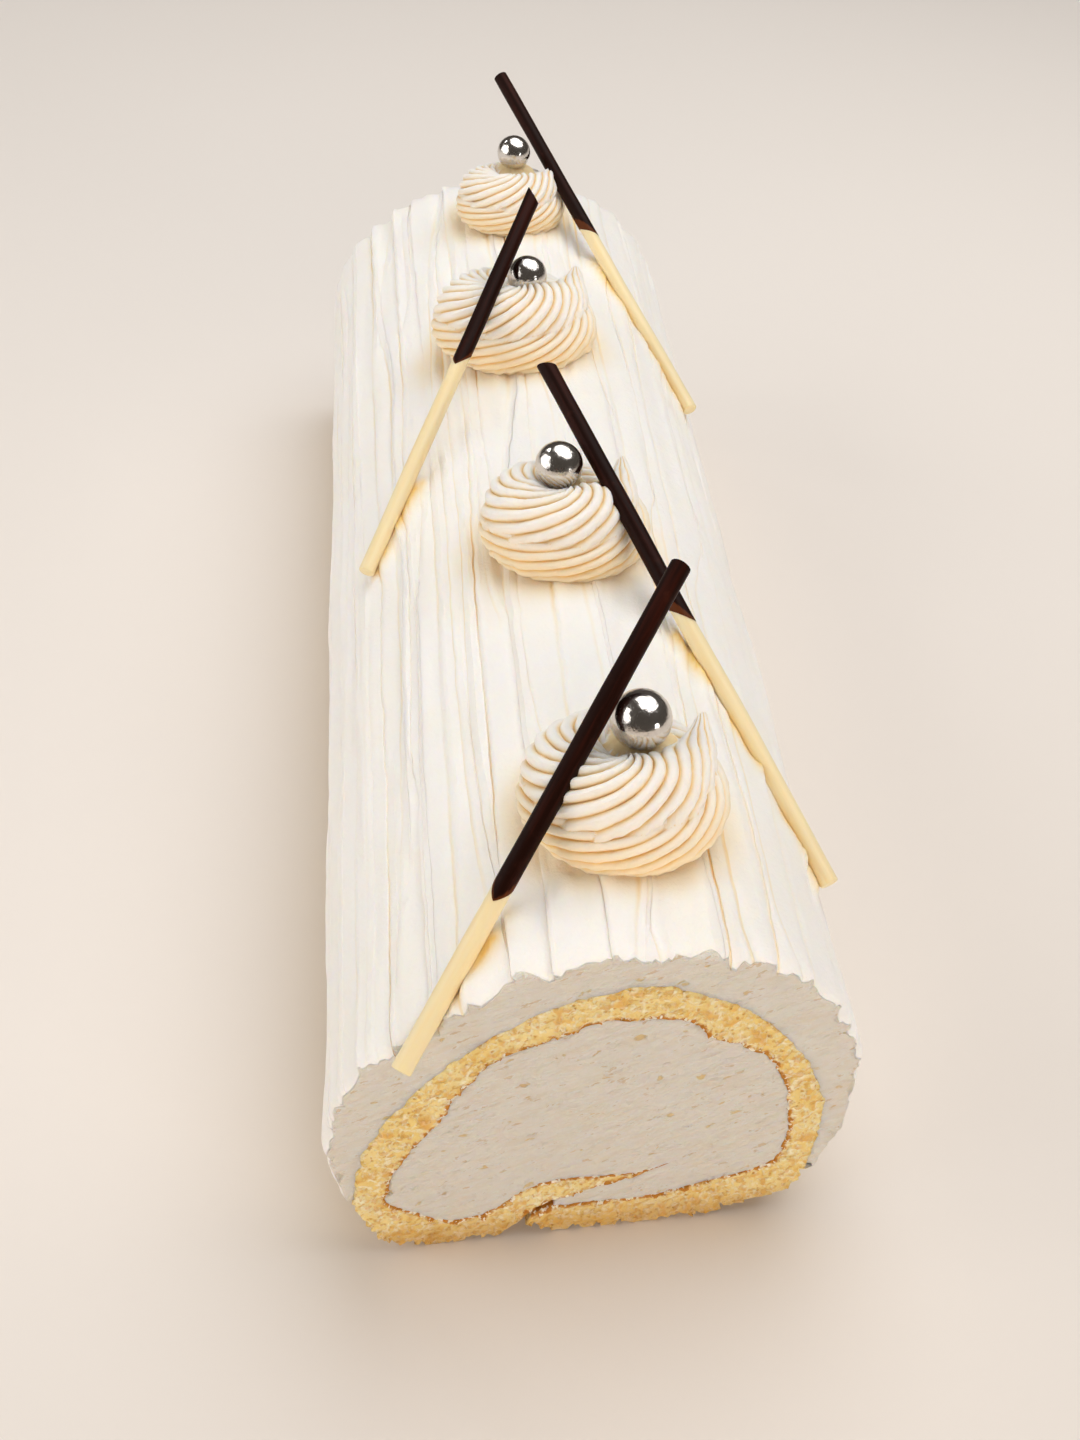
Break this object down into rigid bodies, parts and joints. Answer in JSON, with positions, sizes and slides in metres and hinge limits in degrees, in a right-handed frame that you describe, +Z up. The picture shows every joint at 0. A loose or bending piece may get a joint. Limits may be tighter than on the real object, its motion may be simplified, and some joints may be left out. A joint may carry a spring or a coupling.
{
  "type": "cream-filled swiss roll",
  "caption": "Sponge roll filled and coated with combed cream, topped with piped rosettes, silver sugar balls and leaning two-tone chocolate sticks.",
  "frame": {"origin": "on the flat base of the sponge, under the middle of the roll, midway between its two cuts", "axes": "+Z up; +Y along the roll, away from the cut with the stick leaning over it; +X to the right as seen from that cut"},
  "size_m": [0.0952, 0.3111, 0.1154],
  "materials": {
    "sponge": "soft yellow sponge crumb, matte",
    "filling_cream": "soft cream, matte",
    "cream": "whipped cream, satin",
    "dark_chocolate": "dark chocolate, satin",
    "white_chocolate": "white chocolate, satin, slightly translucent",
    "silver_sugar": "silvered sugar, mirror-like"
  },
  "bodies": {
    "root": {"sponge": "sponge", "filling": "filling_cream", "cream_coat": "cream", "rosette_1": "cream", "ball_1": "silver_sugar", "stick_1_dark": "dark_chocolate", "stick_1_white": "white_chocolate", "rosette_2": "cream", "ball_2": "silver_sugar", "stick_2_dark": "dark_chocolate", "stick_2_white": "white_chocolate", "rosette_3": "cream", "ball_3": "silver_sugar", "stick_3_dark": "dark_chocolate", "stick_3_white": "white_chocolate", "rosette_4": "cream", "ball_4": "silver_sugar", "stick_4_dark": "dark_chocolate", "stick_4_white": "white_chocolate"}
  },
  "joints": []
}
